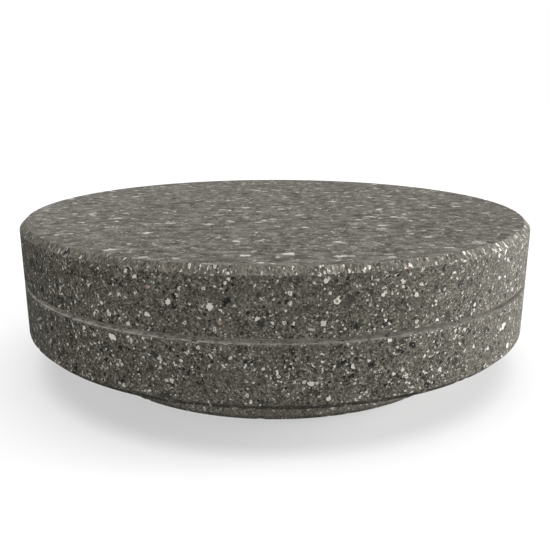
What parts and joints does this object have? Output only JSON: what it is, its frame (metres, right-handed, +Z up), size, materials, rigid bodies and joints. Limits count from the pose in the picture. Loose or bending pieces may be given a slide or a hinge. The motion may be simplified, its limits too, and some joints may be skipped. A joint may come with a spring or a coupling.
{
  "type": "round granite slab",
  "caption": "Thick round granite slab for leather tooling: stacked stone discs with a chamfered rim and a shadow-line joint, on a smaller stone foot.",
  "frame": {"origin": "centre of the underside, on the turning axis, where the rubber sheet rests on the bench", "axes": "+Z up along the axis of the discs, out of the work face; +X to the right and +Y to the back, and the slab is round, so neither side is special"},
  "size_m": [0.29, 0.29, 0.0856],
  "materials": {
    "granite": "satin",
    "mortar": "matte",
    "rubber": "matte"
  },
  "bodies": {
    "root": {"top_slab": "granite", "joint_bed": "mortar", "bottom_slab": "granite", "foot_bed": "mortar", "foot_disc": "granite", "base_pad": "rubber"}
  },
  "joints": []
}
